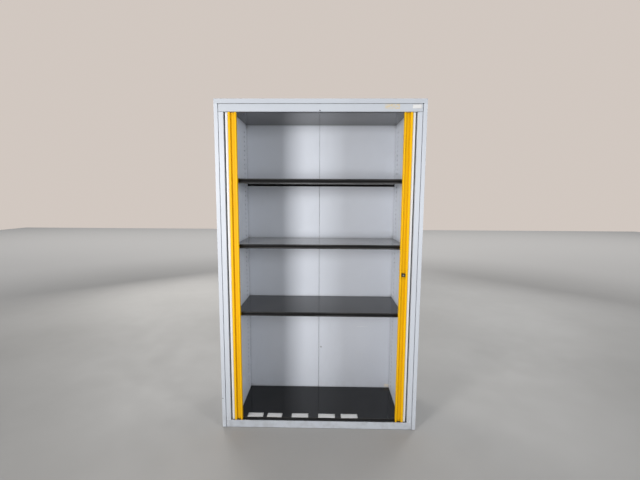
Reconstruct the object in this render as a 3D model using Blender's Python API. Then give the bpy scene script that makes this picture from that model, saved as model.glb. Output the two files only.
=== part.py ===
"""Tambour door filing cabinet: a steel carcass whose two slatted doors slide away into its sides.

Metres, +Z up. The front faces -Y, and the origin is on the floor under the middle of the cabinet.
The doors are modelled fully open.
"""

import math

import bmesh
import bpy
from mathutils import Matrix, Vector

# Overall size
WIDTH = 1.200
DEPTH = 0.450
HEIGHT = 1.980
FOOT_RISE = 0.003            # clear height under the carcass

# Sheet metal and fits
SHEET = 0.001
FOLD_INSIDE = 0.0005         # inner radius of a fold
FOLD_STEPS = 3
SEAT_GAP = 0.0003            # between two pieces that touch
RUN_GAP = 0.0008             # between two pieces that pass each other
SHADOW_GAP = 0.003           # open joint that shows as a line on the front

# Front frame
TOP_BORDER = 0.026           # height of the top panel's edge
HEADER_HEIGHT = 0.042
HEADER_RECESS = 0.007        # header's upper part behind the top panel's edge
SILL_HEIGHT = 0.045
SIDE_EDGE = 0.0225           # width of the side panel's front edge
EDGE_ROUND = 0.007           # rounded upper corner of that edge
POST_WIDTH = 0.028
POST_GAP = 0.002             # open joint over a post
FRAME_DEPTH = 0.0145         # how far the frame's flanges reach back
REAR_FLANGE = 0.020
SILL_LEDGE = 0.015           # how far a sill reaches under the pieces that stand on it
SILL_HEM = 0.004             # fold along the top of the front sill
STRIP_DROP = 0.010           # black strip between that fold and the door tracks
STRIP_SHEET = 0.0015

# Interior
POCKET = 0.095               # side pocket, from the outer face to the liner's inner face
LINER_LIP = 0.045            # flanges that the liner turns into the pocket
BACK_SPACE = 0.046           # from the inner back's face to the rear of the cabinet
BACK_LAP = 0.035             # inner back panel behind the liner's flange
SEAM_GAP = 0.001             # between the two inner back panels
SEAM_X = -0.0085
SEAM_FLANGE = 0.012
BASE_RISE = 0.006            # base above the sill
CEILING_RISE = 0.004         # ceiling above the header's lower edge
PANEL_FLANGE = 0.024         # edges of the base and the ceiling

# Shelves and their slots
SLOT_PITCH = 0.0297
SLOT_WIDTH = 0.016
SLOT_HEIGHT = 0.009
SLOT_FIRST = 0.0488          # lowest slot above the base
SLOT_LAST = 0.050            # least distance from a slot to the ceiling
SLOT_INSET = 0.070           # slot columns from the front and the back of the interior
SHELF_SLOTS = (21, 35, 48)   # slots that the shelves hang on, counted from the lowest
SHELF_SETBACK = 0.004        # shelf edge behind the door tracks
SHELF_EDGE = 0.026           # height of the shelf's folded front edge
SHELF_RECESS = 0.003         # hollow along that edge
SHELF_RETURN = 0.016
SHELF_REAR_EDGE = 0.032
SHELF_GAP = 0.0015           # shelf to the liner and to the inner back
CLIP_RISE = 0.010            # shelf top above the slot's centre
CLIP_WIDTH = 0.020
CLIP_DROP = 0.022
CLIP_LEDGE = 0.014
CLIP_SHEET = 0.002
CLIP_TONGUE = 0.004          # tongue behind the liner

# Slatted curtains and their tracks
SLAT_PITCH = 0.018
SLAT_NECK = 0.003            # thin web between two slats
SLAT_THICKNESS = 0.007
NECK_THICKNESS = 0.0016
SLAT_CLEAR = 0.0006
BEND_RADIUS = 0.030
BEND_STEPS = 8
TRACK_WALL = 0.0015
TRACK_DEPTH = 0.012
CURTAIN_RESERVE = 0.060      # curtain left past the corner when the door is shut
STOP_LENGTH = 0.012

# Door stiles
STILE_WIDTH = 0.0475
STILE_SHEET = 0.0015
STILE_RECESS = 0.004         # stile behind the front of the frame
STILE_END_GAP = 0.0012
STILE_RETURN = 0.012
REST_COVER = 0.0235          # curtain that shows beside the stile of an open door
MEET_GAP = 0.0004            # between the stiles of the shut doors
GRIP_OFFSET = 0.013          # finger channel from the stile's outer edge
GRIP_WIDTH = 0.0255
GRIP_DEPTH = 0.011
GRIP_TAPER = 0.001
RUNNER_PLUG = 0.025          # runner inside the stile
RUNNER_INSET = 0.002

# Lock
LOCK_HEIGHT = 0.977
LOCK_FACE = 0.020
LOCK_ROUND = 0.004
LOCK_BOSS_RADIUS = 0.0072
CYLINDER_RADIUS = 0.0055
KEY_SLOT_LENGTH = 0.007
KEY_SLOT_WIDTH = 0.0014
KEY_SLOT_DEPTH = 0.004
HOOK_THICKNESS = 0.003
HOOK_WIDTH = 0.008
HOOK_BARB = 0.005
HOOK_TIP = 0.0045
KEEPER_SHEET = 0.0015
KEEPER_RIM = 0.0025
KEEPER_MARGIN = 0.010

# Feet and buffer
FOOT_RADIUS = 0.015
FOOT_CHAMFER = 0.001
FOOT_OFFSET = 0.020          # foot beside the liner
FOOT_INSET = 0.022           # foot from the front and the rear
STEM_RADIUS = 0.005
STEM_TOP = 0.020             # stem above the sill's flange
BUFFER_RADIUS = 0.0055
BUFFER_DROP = 0.0095
BUFFER_SETBACK = 0.0085      # buffer's middle behind the door tracks
BUFFER_STEM_RADIUS = 0.003
BUFFER_STEM = 0.006
FIXING_RADIUS = 0.0035       # hole in the middle of the header's face
FIXING_RISE = 0.0062
ROUND_STEPS = 24

# Planes that the pieces share
FRONT = -DEPTH / 2
REAR = DEPTH / 2
SIDE = WIDTH / 2
BOTTOM = FOOT_RISE
SILL_TOP = BOTTOM + SILL_HEIGHT
BORDER_LOW = HEIGHT - TOP_BORDER
HEADER_TOP = BORDER_LOW - SHADOW_GAP
HEADER_LOW = HEADER_TOP - HEADER_HEIGHT
LAP_TOP = HEIGHT - SHEET - SEAT_GAP
STAND = BOTTOM + SHEET + SEAT_GAP
FRAME_HALF = SIDE - SIDE_EDGE - SHADOW_GAP
OPENING_HALF = FRAME_HALF - POST_WIDTH
FRAME_BACK = FRONT + FRAME_DEPTH
LINER_X = SIDE - POCKET
INNER_BACK = REAR - BACK_SPACE
REAR_PANEL_BACK = REAR - SHEET - SEAT_GAP
REAR_PANEL_FACE = REAR_PANEL_BACK - SHEET
BASE_TOP = SILL_TOP + BASE_RISE
CEILING = HEADER_LOW + CEILING_RISE
LINING_TOP = CEILING + PANEL_FLANGE

# The track's groove leaves room for a rigid slat in the bend
SLAT_FACE = SLAT_PITCH - SLAT_NECK
GROOVE = SLAT_THICKNESS + 2 * SLAT_FACE**2 / (8 * BEND_RADIUS) + 2 * SLAT_CLEAR
TRACK_HALF = GROOVE / 2 + TRACK_WALL
FRONT_RUN = FRAME_BACK + SEAT_GAP + TRACK_HALF
SIDE_RUN = SIDE - SHEET - RUN_GAP - TRACK_HALF
REAR_RUN = REAR_PANEL_FACE - RUN_GAP - TRACK_HALF
BEND_X = SIDE_RUN - BEND_RADIUS
TRACK_BACK = FRONT_RUN + TRACK_HALF
TRACK_FLOOR = SILL_TOP - TRACK_DEPTH
TRACK_ROOF = HEADER_LOW + TRACK_DEPTH

STILE_FRONT = FRONT + STILE_RECESS
STILE_BACK = FRONT_RUN + GROOVE / 2
STILE_LOW = SILL_TOP + STILE_END_GAP
STILE_HIGH = HEADER_LOW - STILE_END_GAP
STILE_OUTER = OPENING_HALF - REST_COVER
STILE_INNER = STILE_OUTER - STILE_WIDTH
TRAVEL = STILE_INNER - MEET_GAP / 2
GRIP_FLOOR = STILE_FRONT + GRIP_DEPTH
LOCK_X = STILE_OUTER - GRIP_OFFSET - GRIP_WIDTH / 2
HOOK_BACK = STILE_BACK - STILE_SHEET - KEEPER_RIM
HOOK_FACE = HOOK_BACK - HOOK_THICKNESS
HOOK_CATCH = LOCK_X - STILE_INNER + MEET_GAP + STILE_SHEET + KEEPER_SHEET + SEAT_GAP + 2 * RUN_GAP

QUARTER_LENGTH = math.pi / 2 * BEND_RADIUS
FRONT_LENGTH = BEND_X - STILE_OUTER
SIDE_LENGTH = REAR_RUN - FRONT_RUN - 2 * BEND_RADIUS
SLAT_COUNT = math.ceil((TRAVEL + REST_COVER + QUARTER_LENGTH + CURTAIN_RESERVE) / SLAT_PITCH)
CURTAIN_LENGTH = SLAT_COUNT * SLAT_PITCH
REAR_LENGTH = max(CURTAIN_LENGTH - FRONT_LENGTH - SIDE_LENGTH - 2 * QUARTER_LENGTH, SLAT_PITCH)
TRACK_END = BEND_X - REAR_LENGTH - SEAT_GAP - STOP_LENGTH
SLOT_LOW = BASE_TOP + SLOT_FIRST
SLOT_COUNT = math.floor((CEILING - SLOT_LAST - SLOT_LOW) / SLOT_PITCH) + 1
SLOT_COLUMNS = (TRACK_BACK + SLOT_INSET, INNER_BACK - SLOT_INSET)

# Colour, roughness and metallic value of each finish
FINISHES = {
    "carcass_paint": ((0.61, 0.64, 0.68), 0.42, 0.0),
    "lining_paint": ((0.55, 0.57, 0.60), 0.48, 0.0),
    "black_paint": ((0.020, 0.020, 0.022), 0.32, 0.0),
    "stile_paint": ((0.90, 0.46, 0.012), 0.38, 0.0),
    "curtain_plastic": ((0.80, 0.82, 0.84), 0.45, 0.0),
    "track_plastic": ((0.025, 0.025, 0.027), 0.50, 0.0),
    "runner_plastic": ((0.06, 0.06, 0.065), 0.45, 0.0),
    "lock_black": ((0.015, 0.015, 0.016), 0.35, 0.0),
    "lock_metal": ((0.55, 0.53, 0.50), 0.30, 1.0),
    "clip_zinc": ((0.75, 0.76, 0.77), 0.35, 1.0),
    "foot_rubber": ((0.03, 0.03, 0.03), 0.70, 0.0),
    "buffer_plastic": ((0.42, 0.44, 0.46), 0.50, 0.0),
}


def clear_scene():
    for obj in list(bpy.data.objects):
        bpy.data.objects.remove(obj)


def finish_material(name):
    found = bpy.data.materials.get(name)
    if found:
        return found
    colour, roughness, metallic = FINISHES[name]
    made = bpy.data.materials.new(name)
    made.use_nodes = True
    shader = made.node_tree.nodes["Principled BSDF"]
    shader.inputs["Base Color"].default_value = (*colour, 1.0)
    shader.inputs["Roughness"].default_value = roughness
    shader.inputs["Metallic"].default_value = metallic
    made.diffuse_color = (*colour, 1.0)
    return made


def axis_empty(name, place, parent=None):
    """An empty on a joint's axis, which carries the pieces that move together."""
    empty = bpy.data.objects.new(name, None)
    empty.location = Vector(place) - world_place(parent)
    empty.parent = parent
    bpy.context.scene.collection.objects.link(empty)
    return empty


def world_place(obj):
    place = Vector((0, 0, 0))
    while obj is not None:
        place = place + obj.location
        obj = obj.parent
    return place


def add_piece(name, bm, finish, parent=None):
    """Turns a mesh in world coordinates into a named object whose origin is its parent's place."""
    bmesh.ops.recalc_face_normals(bm, faces=bm.faces)
    bmesh.ops.translate(bm, verts=bm.verts, vec=-world_place(parent))
    mesh = bpy.data.meshes.new(name)
    bm.to_mesh(mesh)
    bm.free()
    obj = bpy.data.objects.new(name, mesh)
    obj.parent = parent
    bpy.context.scene.collection.objects.link(obj)
    mesh.materials.append(finish_material(finish))
    return obj


def smooth(obj, angle=40):
    obj.data.shade_smooth()
    obj.data.set_sharp_from_angle(angle=math.radians(angle))


def cut(obj, cutter_name, bm, parent=None):
    """Cuts a mesh in world coordinates out of obj."""
    cutter = add_piece(cutter_name, bm, "lock_black", parent)
    cutter.hide_render = True
    cutter.display_type = "WIRE"
    boolean = obj.modifiers.new(cutter_name, "BOOLEAN")
    boolean.operation = "DIFFERENCE"
    boolean.solver = "EXACT"
    boolean.object = cutter


def left_normal(start, end):
    along = (Vector(end) - Vector(start)).normalized()
    return Vector((-along.y, along.x))


def mitres(path):
    """For each point of a path, the step to the left that keeps a line at unit distance."""
    steps = []
    for i, point in enumerate(path):
        before = left_normal(path[i - 1], point) if i > 0 else None
        after = left_normal(point, path[i + 1]) if i < len(path) - 1 else None
        if before is None or after is None:
            steps.append(before or after)
        else:
            steps.append((before + after) / (1 + before.dot(after)))
    return steps


def rounded(path, sheet):
    """A folded sheet's outer line with its folds rounded. A fold with no room for it stays sharp."""
    points = [Vector(path[0])]
    for i in range(1, len(path) - 1):
        corner = Vector(path[i])
        back = Vector(path[i - 1]) - corner
        ahead = Vector(path[i + 1]) - corner
        turn = math.atan2(-back.cross(ahead), -back.dot(ahead))
        room = min(
            back.length if i == 1 else back.length / 2,
            ahead.length if i == len(path) - 2 else ahead.length / 2,
        )
        if (FOLD_INSIDE + abs(sheet)) * math.tan(abs(turn) / 2) > room:
            points.append(corner)
            continue
        radius = FOLD_INSIDE + (abs(sheet) if turn * sheet > 0 else 0)
        start = corner + back.normalized() * radius * math.tan(abs(turn) / 2)
        centre = start + left_normal(path[i - 1], path[i]) * math.copysign(radius, turn)
        for k in range(FOLD_STEPS + 1):
            points.append(centre + Matrix.Rotation(turn * k / FOLD_STEPS, 2) @ (start - centre))
    points.append(Vector(path[-1]))
    return points


def folded(path, sheet):
    """Outline of a folded sheet. The path is its outer line, and the sheet lies to its left."""
    outer = rounded(path, sheet)
    inner = [p + step * sheet for p, step in zip(outer, mitres(outer))]
    return [tuple(p) for p in outer] + [tuple(p) for p in reversed(inner)]


def mirrored(points, side):
    """Points given as (distance from the middle, depth), on the left (-1) or right (1) side."""
    return [(side * x, y) for x, y in points]


def extruded(outline, axis, low, high):
    """A prism. The outline's coordinates run across the axis, in X, Y, Z order."""
    order = {"X": (2, 0, 1), "Y": (0, 2, 1), "Z": (0, 1, 2)}[axis]
    bm = bmesh.new()
    ends = []
    for level in (low, high):
        points = [(a, b, level) for a, b in outline]
        ends.append([bm.verts.new([p[i] for i in order]) for p in points])
        bm.faces.new(ends[-1])
    for i in range(len(outline)):
        bm.faces.new((ends[0][i - 1], ends[0][i], ends[1][i], ends[1][i - 1]))
    return bm


def boxes(corners):
    """One closed mesh from boxes that overlap or share faces, each given by two corners."""
    grid = [sorted({c[axis] for box in corners for c in box}) for axis in range(3)]
    filled = set()
    for low, high in corners:
        spans = [range(grid[i].index(low[i]), grid[i].index(high[i])) for i in range(3)]
        filled.update((i, j, k) for i in spans[0] for j in spans[1] for k in spans[2])
    bm = bmesh.new()
    verts = {}

    def vert(index):
        if index not in verts:
            verts[index] = bm.verts.new([grid[axis][index[axis]] for axis in range(3)])
        return verts[index]

    for cell in filled:
        for axis in range(3):
            for step in (0, 1):
                beyond = list(cell)
                beyond[axis] += 2 * step - 1
                if tuple(beyond) in filled:
                    continue
                a, b = (axis + 1) % 3, (axis + 2) % 3
                face = []
                for da, db in ((0, 0), (1, 0), (1, 1), (0, 1)):
                    index = list(cell)
                    index[axis] += step
                    index[a] += da
                    index[b] += db
                    face.append(vert(tuple(index)))
                bm.faces.new(face)
    bmesh.ops.recalc_face_normals(bm, faces=bm.faces)
    bmesh.ops.dissolve_limit(bm, angle_limit=math.radians(1), verts=bm.verts, edges=bm.edges)
    return bm


def box(low, high):
    return boxes([(low, high)])


def tray(low, high, sheet, opens_up):
    """A sheet with four flanges."""
    inner_low = [low[0] + sheet, low[1] + sheet]
    inner_high = [high[0] - sheet, high[1] - sheet]
    rim, back = (high[2], low[2]) if opens_up else (low[2], high[2])
    floor = back + sheet if opens_up else back - sheet
    bm = bmesh.new()

    def ring(a, b, z):
        return [bm.verts.new((x, y, z)) for x, y in ((a[0], a[1]), (b[0], a[1]), (b[0], b[1]), (a[0], b[1]))]

    rings = [ring(low, high, back), ring(low, high, rim)]
    rings += [ring(inner_low, inner_high, rim), ring(inner_low, inner_high, floor)]
    bm.faces.new(rings[0])
    bm.faces.new(rings[-1])
    bridge(bm, rings)
    bmesh.ops.recalc_face_normals(bm, faces=bm.faces)
    outer = ring_folds(bm, rings[0], rings[1])
    inner = ring_folds(bm, rings[3], rings[2])
    for edges, radius in ((outer, FOLD_INSIDE + sheet), (inner, FOLD_INSIDE)):
        bmesh.ops.bevel(
            bm, geom=edges, offset=radius, segments=FOLD_STEPS, profile=0.5, affect="EDGES", clamp_overlap=False
        )
    return bm


def ring_folds(bm, corners, rim):
    """The edges round a ring of corners, and those from it to the rim."""
    edges = [bm.edges.get((corners[i - 1], corners[i])) for i in range(len(corners))]
    edges += [bm.edges.get(pair) for pair in zip(corners, rim)]
    return edges


def bridge(bm, rings):
    """Joins each ring of vertices to the next one."""
    for first, second in zip(rings, rings[1:]):
        for i in range(len(first)):
            bm.faces.new((first[i - 1], first[i], second[i], second[i - 1]))


def swept(path, section):
    """A bar along a plan path. The section's points are (distance to the left, height)."""
    bm = bmesh.new()
    rings = []
    for point, step in zip(path, mitres(path)):
        places = [(*(Vector(point) + step * across), height) for across, height in section]
        rings.append([bm.verts.new(p) for p in places])
    bm.faces.new(rings[0])
    bm.faces.new(rings[-1])
    bridge(bm, rings)
    return bm


def circle(radius, steps=ROUND_STEPS):
    angles = [2 * math.pi * i / steps for i in range(steps)]
    return [(radius * math.cos(a), radius * math.sin(a)) for a in angles]


def rounded_square(width, height, radius, steps=ROUND_STEPS):
    """A rectangle with round corners, with as many points as a circle of those steps."""
    corner = steps // 4 - 1
    points = []
    for quarter in range(4):
        turn = quarter * math.pi / 2
        sx = 1 if quarter in (0, 3) else -1
        sy = 1 if quarter in (0, 1) else -1
        for i in range(corner + 1):
            a = turn + math.pi / 2 * i / corner
            x = sx * (width / 2 - radius) + radius * math.cos(a)
            y = sy * (height / 2 - radius) + radius * math.sin(a)
            points.append((x, y))
    return points


def turned(profile, centre):
    """A solid of revolution about a vertical line, from (radius, height) points."""
    bm = bmesh.new()
    rings = []
    for radius, height in profile:
        rings.append([bm.verts.new((centre[0] + x, centre[1] + y, height)) for x, y in circle(radius)])
    bm.faces.new(rings[0])
    bm.faces.new(rings[-1])
    bridge(bm, rings)
    return bm


def quarter_turn(centre, radius, start):
    """Points of a quarter circle that starts at an angle in degrees, without its two ends."""
    angles = [math.radians(start + 90 * i / BEND_STEPS) for i in range(1, BEND_STEPS)]
    return [(centre[0] + radius * math.cos(a), centre[1] + radius * math.sin(a)) for a in angles]


def curtain_route(start, end):
    """The route of a curtain in plan: along the front, the side and the back of the cabinet."""
    front_centre = (BEND_X, FRONT_RUN + BEND_RADIUS)
    rear_centre = (BEND_X, REAR_RUN - BEND_RADIUS)
    route = [(start, FRONT_RUN), (BEND_X, FRONT_RUN)]
    route += quarter_turn(front_centre, BEND_RADIUS, -90)
    route += [(SIDE_RUN, front_centre[1]), (SIDE_RUN, rear_centre[1])]
    route += quarter_turn(rear_centre, BEND_RADIUS, 0)
    route += [(BEND_X, REAR_RUN), (end, REAR_RUN)]
    return route


def point_along(route, distance):
    for start, end in zip(route, route[1:]):
        step = Vector(end) - Vector(start)
        if distance <= step.length:
            return Vector(start) + step.normalized() * distance
        distance -= step.length
    return Vector(route[-1])


def slatted_outline(route):
    """Plan outline of a curtain: straight slats joined by thin webs."""
    left, right = [], []

    def station(place, normal, thickness):
        left.append(tuple(place + normal * thickness / 2))
        right.append(tuple(place - normal * thickness / 2))

    station(point_along(route, SEAT_GAP), left_normal(*route[:2]), NECK_THICKNESS)
    for i in range(SLAT_COUNT):
        start = point_along(route, i * SLAT_PITCH + SLAT_NECK)
        end = point_along(route, (i + 1) * SLAT_PITCH)
        normal = left_normal(start, end)
        station(start, normal, NECK_THICKNESS)
        station(start, normal, SLAT_THICKNESS)
        station(end, normal, SLAT_THICKNESS)
        if i < SLAT_COUNT - 1:
            station(end, normal, NECK_THICKNESS)
    return left + right[::-1]


def add_carcass():
    add_piece("top_panel", tray((-SIDE, FRONT, BORDER_LOW), (SIDE, REAR, HEIGHT), SHEET, False), "carcass_paint")
    header_line = [
        (FRAME_BACK, HEADER_LOW),
        (FRONT, HEADER_LOW),
        (FRONT, HEADER_TOP),
        (FRONT + HEADER_RECESS, HEADER_TOP),
        (FRONT + HEADER_RECESS, LAP_TOP),
    ]
    header = add_piece(
        "header_rail", extruded(folded(header_line, -SHEET), "X", -FRAME_HALF, FRAME_HALF), "carcass_paint"
    )
    fixing = [(x, HEADER_LOW + FIXING_RISE + z) for x, z in circle(FIXING_RADIUS)]
    cut(header, "fixing_hole", extruded(fixing, "Y", FRONT - SHEET, FRONT + 2 * SHEET))
    sill_line = [
        (FRONT + SILL_HEM, SILL_TOP),
        (FRONT, SILL_TOP),
        (FRONT, BOTTOM),
        (TRACK_BACK + SILL_LEDGE, BOTTOM),
    ]
    rear_line = [(INNER_BACK - SILL_LEDGE, BOTTOM), (REAR, BOTTOM), (REAR, SILL_TOP)]
    rear_half = SIDE - REAR_FLANGE - SEAT_GAP
    front_sill = add_piece(
        "front_sill", extruded(folded(sill_line, SHEET), "X", -FRAME_HALF, FRAME_HALF), "carcass_paint"
    )
    strip_front = FRONT + SILL_HEM + SEAT_GAP
    strip_outline = [
        (strip_front, SILL_TOP - STRIP_SHEET),
        (FRAME_BACK - STRIP_SHEET, SILL_TOP - STRIP_SHEET),
        (FRAME_BACK - STRIP_SHEET, SILL_TOP - STRIP_DROP),
        (FRAME_BACK, SILL_TOP - STRIP_DROP),
        (FRAME_BACK, SILL_TOP),
        (strip_front, SILL_TOP),
    ]
    add_piece("front_strip", extruded(strip_outline, "X", -FRAME_HALF, FRAME_HALF), "track_plastic")
    rear_sill = add_piece(
        "rear_sill", extruded(folded(rear_line, SHEET), "X", -rear_half, rear_half), "carcass_paint"
    )
    panel_half = SIDE - SHEET - SEAT_GAP
    add_piece(
        "rear_panel",
        box((-panel_half, REAR_PANEL_FACE, STAND), (panel_half, REAR_PANEL_BACK, LAP_TOP)),
        "carcass_paint",
    )
    for side, word in ((-1, "left"), (1, "right")):
        add_side_panel(side, word)
        add_front_post(side, word)
        add_foot(side, f"{word}_front_foot", front_sill, FRONT + FOOT_INSET)
        add_foot(side, f"{word}_rear_foot", rear_sill, REAR - FOOT_INSET)


def add_side_panel(side, word):
    inner_edge = SIDE - SIDE_EDGE
    line = [
        (inner_edge, FRAME_BACK),
        (inner_edge, FRONT),
        (SIDE, FRONT),
        (SIDE, REAR),
        (SIDE - REAR_FLANGE, REAR),
    ]
    outline = mirrored(folded(line, SHEET), side)
    top = BORDER_LOW - SEAT_GAP
    panel = add_piece(f"{word}_side_panel", extruded(outline, "Z", BOTTOM, top), "carcass_paint")
    round_centre = (inner_edge + EDGE_ROUND, top - EDGE_ROUND)
    corner = [(inner_edge - SHEET, top + SHEET), (inner_edge - SHEET, round_centre[1])]
    corner += [(inner_edge, round_centre[1])]
    corner += quarter_turn(round_centre, EDGE_ROUND, 90)[::-1]
    corner += [(round_centre[0], top), (round_centre[0], top + SHEET)]
    cutter = extruded(mirrored(corner, side), "Y", FRONT - SHEET, FRAME_BACK + SHEET)
    cut(panel, f"{word}_edge_round", cutter)


def add_front_post(side, word):
    line = [
        (OPENING_HALF, FRAME_BACK),
        (OPENING_HALF, FRONT),
        (FRAME_HALF, FRONT),
        (FRAME_HALF, FRAME_BACK - SHEET),
        (FRAME_HALF + SHADOW_GAP - SEAT_GAP, FRAME_BACK - SHEET),
    ]
    outline = mirrored(folded(line, SHEET), side)
    add_piece(
        f"{word}_front_post",
        extruded(outline, "Z", SILL_TOP + SEAT_GAP, HEADER_LOW - POST_GAP),
        "carcass_paint",
    )


def add_foot(side, name, sill, depth):
    """A levelling foot whose stem passes through the sill's bottom flange."""
    centre = (side * (LINER_X + FOOT_OFFSET), depth)
    pad_top = BOTTOM - SEAT_GAP
    profile = [
        (FOOT_RADIUS - FOOT_CHAMFER, 0),
        (FOOT_RADIUS, FOOT_CHAMFER),
        (FOOT_RADIUS, pad_top),
        (STEM_RADIUS, pad_top),
        (STEM_RADIUS, BOTTOM + SHEET + STEM_TOP),
    ]
    smooth(add_piece(name, turned(profile, centre), "foot_rubber"))
    hole = STEM_RADIUS + SEAT_GAP
    cut(sill, f"{name}_hole", turned([(hole, BOTTOM - SHEET), (hole, BOTTOM + 2 * SHEET)], centre))


def add_buffer(ceiling):
    """A round buffer behind the doors' meeting line, plugged into the front of the ceiling."""
    centre = (0, TRACK_BACK + BUFFER_SETBACK)
    seat = CEILING - SEAT_GAP
    profile = [
        (BUFFER_RADIUS - SHEET, CEILING - BUFFER_DROP),
        (BUFFER_RADIUS, CEILING - BUFFER_DROP + SHEET),
        (BUFFER_RADIUS, seat),
        (BUFFER_STEM_RADIUS, seat),
        (BUFFER_STEM_RADIUS, CEILING + BUFFER_STEM),
    ]
    smooth(add_piece("centre_buffer", turned(profile, centre), "buffer_plastic"))
    hole = BUFFER_STEM_RADIUS + SEAT_GAP
    cut(ceiling, "buffer_hole", turned([(hole, CEILING - SHEET), (hole, CEILING + 2 * SHEET)], centre))


def add_lining():
    floor_low = (-LINER_X + SEAT_GAP, TRACK_BACK + SEAT_GAP)
    floor_high = (LINER_X - SEAT_GAP, INNER_BACK - SEAT_GAP)
    base = tray((*floor_low, BASE_TOP - PANEL_FLANGE), (*floor_high, BASE_TOP), SHEET, False)
    add_piece("base_panel", base, "black_paint")
    roof = tray((*floor_low, CEILING), (*floor_high, LINING_TOP), SHEET, True)
    ceiling = add_piece("ceiling_panel", roof, "black_paint")
    add_buffer(ceiling)
    for side, word in ((-1, "left"), (1, "right")):
        add_liner(side, word)
        panel_line = [
            (LINER_X + BACK_LAP, INNER_BACK),
            (SEAM_GAP / 2 + side * SEAM_X, INNER_BACK),
            (SEAM_GAP / 2 + side * SEAM_X, INNER_BACK + SEAM_FLANGE),
        ]
        outline = mirrored(folded(panel_line, -SHEET), side)
        add_piece(f"{word}_back_panel", extruded(outline, "Z", STAND, LINING_TOP), "lining_paint")
    strip_half = SEAM_GAP / 2 + 2 * SHEET + SEAT_GAP
    strip_front = INNER_BACK + SHEET + SEAT_GAP
    strip_back = INNER_BACK + SEAM_FLANGE + SEAT_GAP + SHEET
    strip_line = [
        (SEAM_X - strip_half, strip_front),
        (SEAM_X - strip_half, strip_back),
        (SEAM_X + strip_half, strip_back),
        (SEAM_X + strip_half, strip_front),
    ]
    add_piece("back_joint_strip", extruded(folded(strip_line, -SHEET), "Z", STAND, LINING_TOP), "lining_paint")


def add_liner(side, word):
    liner_back = INNER_BACK - SEAT_GAP
    line = [
        (LINER_X + LINER_LIP, TRACK_BACK + SEAT_GAP),
        (LINER_X, TRACK_BACK + SEAT_GAP),
        (LINER_X, liner_back),
        (LINER_X + LINER_LIP, liner_back),
    ]
    outline = mirrored(folded(line, -SHEET), side)
    liner = add_piece(f"{word}_liner", extruded(outline, "Z", STAND, LINING_TOP), "lining_paint")
    holes = bmesh.new()
    for column in SLOT_COLUMNS:
        for i in range(SLOT_COUNT):
            middle = SLOT_LOW + i * SLOT_PITCH
            near = (side * (LINER_X - SHEET), column - SLOT_WIDTH / 2, middle - SLOT_HEIGHT / 2)
            far = (side * (LINER_X + 2 * SHEET), column + SLOT_WIDTH / 2, middle + SLOT_HEIGHT / 2)
            low = [min(pair) for pair in zip(near, far)]
            high = [max(pair) for pair in zip(near, far)]
            add_box_faces(holes, low, high)
    cut(liner, f"{word}_liner_slots", holes)


def add_box_faces(bm, low, high):
    corners = [(x, y) for x, y in ((low[0], low[1]), (high[0], low[1]), (high[0], high[1]), (low[0], high[1]))]
    rings = [[bm.verts.new((x, y, z)) for x, y in corners] for z in (low[2], high[2])]
    bm.faces.new(rings[0])
    bm.faces.new(rings[1])
    bridge(bm, rings)


def add_shelves():
    front = TRACK_BACK + SHELF_SETBACK
    back = INNER_BACK - SHELF_GAP
    half = LINER_X - SHELF_GAP
    for number, slot in enumerate(SHELF_SLOTS, 1):
        middle = SLOT_LOW + slot * SLOT_PITCH
        top = middle + CLIP_RISE
        band = (SHELF_EDGE - 2 * SHELF_RECESS) / 3
        line = [
            (back, top - SHELF_REAR_EDGE),
            (back, top),
            (front, top),
            (front, top - band),
            (front + SHELF_RECESS, top - band - SHELF_RECESS),
            (front + SHELF_RECESS, top - 2 * band - SHELF_RECESS),
            (front, top - 2 * band - 2 * SHELF_RECESS),
            (front, top - SHELF_EDGE),
            (front + SHELF_RETURN, top - SHELF_EDGE),
        ]
        add_piece(f"shelf_{number}", extruded(folded(line, SHEET), "X", -half, half), "black_paint")
        for side, word in ((-1, "left"), (1, "right")):
            for column, place in zip(SLOT_COLUMNS, ("front", "rear")):
                name = f"shelf_{number}_{word}_{place}_clip"
                add_clip(side, name, column, middle, top - SHEET - SEAT_GAP)


def add_clip(side, name, column, middle, ledge_top):
    """A bracket that hooks into a slot of the liner and carries a corner of a shelf."""
    face = LINER_X - SEAT_GAP
    tongue_half = SLOT_WIDTH / 2 - SEAT_GAP - SLAT_CLEAR / 2
    tongue_rise = SLOT_HEIGHT / 2 - SEAT_GAP - SLAT_CLEAR / 2
    spans = [
        (face - CLIP_SHEET, face, CLIP_WIDTH / 2, ledge_top - CLIP_DROP, ledge_top),
        (face - CLIP_LEDGE, face, CLIP_WIDTH / 2, ledge_top - CLIP_SHEET, ledge_top),
        (face, LINER_X + SHEET + CLIP_TONGUE, tongue_half, middle - tongue_rise, middle + tongue_rise),
    ]
    corners = []
    for near, far, half, low, high in spans:
        x = sorted((side * near, side * far))
        corners.append(((x[0], column - half, low), (x[1], column + half, high)))
    add_piece(name, boxes(corners), "clip_zinc")


def add_tracks(side, word):
    route = mirrored(curtain_route(SEAT_GAP / 2, TRACK_END), side)
    inner = GROOVE / 2
    for place, rim, floor, back in (
        ("bottom", SILL_TOP, TRACK_FLOOR, TRACK_FLOOR - TRACK_WALL),
        ("top", HEADER_LOW, TRACK_ROOF, TRACK_ROOF + TRACK_WALL),
    ):
        section = [
            (-TRACK_HALF, back),
            (TRACK_HALF, back),
            (TRACK_HALF, rim),
            (inner, rim),
            (inner, floor),
            (-inner, floor),
            (-inner, rim),
            (-TRACK_HALF, rim),
        ]
        add_piece(f"{word}_{place}_track", swept(route, section), "track_plastic")
    stop_x = sorted((side * TRACK_END, side * (TRACK_END + STOP_LENGTH)))
    stop_low = (stop_x[0], REAR_RUN - inner + SEAT_GAP, TRACK_FLOOR + SEAT_GAP)
    stop_high = (stop_x[1], REAR_RUN + inner - SEAT_GAP, SILL_TOP)
    add_piece(f"{word}_end_stop", box(stop_low, stop_high), "runner_plastic")


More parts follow.
